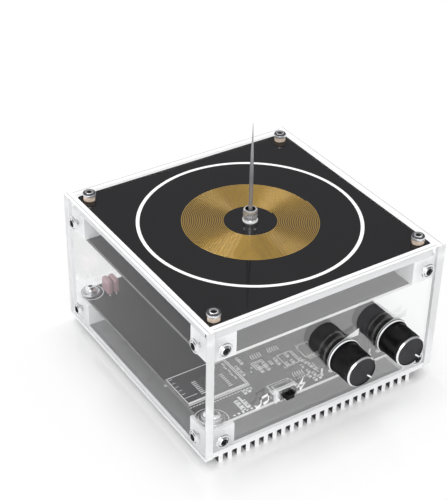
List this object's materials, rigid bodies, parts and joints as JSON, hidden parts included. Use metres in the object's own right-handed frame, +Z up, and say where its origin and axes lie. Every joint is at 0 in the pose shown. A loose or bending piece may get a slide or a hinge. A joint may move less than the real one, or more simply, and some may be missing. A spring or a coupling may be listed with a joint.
{
  "type": "desktop resonant transformer",
  "caption": "Desktop resonant transformer: clear case on a finned heat sink, flat printed spiral coil on top with an upright discharge needle, rotary knobs and a slide switch at the front.",
  "frame": {"origin": "on the needle's axis, at the middle of the case, on the plane that the fins stand on", "axes": "+Z up along the needle, -Y out of the front panel with the knobs, +X to the right seen from the front"},
  "size_m": [0.133, 0.1471, 0.127],
  "materials": {
    "clear_acrylic": "polished clear sheet",
    "bright_aluminium": "satin extruded",
    "black_board": "black solder mask",
    "gold_trace": "gold plated copper",
    "brass": "turned",
    "chrome": "polished",
    "dark_chrome": "dark polished",
    "needle_steel": "polished stainless",
    "black_anodised": "black anodised, turned",
    "nickel": "nickel plated",
    "tinned": "tinned",
    "black_plastic": "moulded",
    "phenolic": "laminate",
    "resistor_ceramic": "glazed",
    "red_epoxy": "dipped epoxy",
    "capacitor_sleeve": "shrink sleeve",
    "insulating_pad": "silicone",
    "lead_insulation": "insulated wire"
  },
  "bodies": {
    "case": {"heat_sink": "bright_aluminium", "front_panel": "clear_acrylic", "back_panel": "clear_acrylic", "left_panel": "clear_acrylic", "right_panel": "clear_acrylic", "lower_corner_blocks": "clear_acrylic", "upper_corner_blocks": "clear_acrylic", "front_panel_screws": "chrome", "back_panel_screws": "chrome", "left_panel_screws": "chrome", "right_panel_screws": "chrome", "base_screws": "chrome", "main_board": "black_board", "board_nuts": "chrome", "board_screws": "chrome", "primary_board": "black_board", "primary_winding": "gold_trace", "primary_board_screws": "chrome", "top_plate": "clear_acrylic", "coil_board": "black_board", "secondary_winding": "gold_trace", "top_nuts": "brass", "top_screws": "dark_chrome", "needle_socket": "chrome", "needle_set_screw": "chrome", "needle": "needle_steel", "left_pot_case": "black_plastic", "right_pot_case": "black_plastic", "pot_tracks": "phenolic", "pot_pins": "tinned", "pot_washers": "nickel", "pot_nuts": "nickel", "switch_shell": "nickel", "switch_base": "black_plastic", "switch_pins": "tinned", "module_board": "black_board", "module_chip": "black_plastic", "module_pins": "tinned", "driver_chips": "black_plastic", "chip_resistors": "resistor_ceramic", "film_capacitors": "red_epoxy", "film_capacitor_legs": "tinned", "electrolytic_capacitors": "capacitor_sleeve", "power_inductor": "black_plastic", "power_transistors": "black_plastic", "transistor_pads": "insulating_pad", "transistor_legs": "tinned", "transistor_screws": "chrome", "power_jack": "black_plastic", "power_jack_pin": "nickel", "audio_jack": "black_plastic", "audio_jack_nut": "nickel", "internal_leads": "lead_insulation"},
    "left_knob": {"left_knob_shell": "black_anodised", "left_knob_core": "black_plastic", "left_pot_shaft": "nickel"},
    "right_knob": {"right_knob_shell": "black_anodised", "right_knob_core": "black_plastic", "right_pot_shaft": "nickel"},
    "switch_slider": {"switch_lever": "black_plastic"}
  },
  "joints": [
    {"name": "left_knob_turn", "type": "hinge", "parent": "case", "child": "left_knob", "pos_m": [0.0084, -0.0655, 0.035], "axis": [0, 1, 0], "range_deg": [-283, 17]},
    {"name": "right_knob_turn", "type": "hinge", "parent": "case", "child": "right_knob", "pos_m": [0.0364, -0.0655, 0.035], "axis": [0, 1, 0], "range_deg": [-283, 17]},
    {"name": "switch_slide", "type": "slide", "parent": "case", "child": "switch_slider", "axis": [1, 0, 0], "range_m": [-0.002, 0.002]}
  ]
}
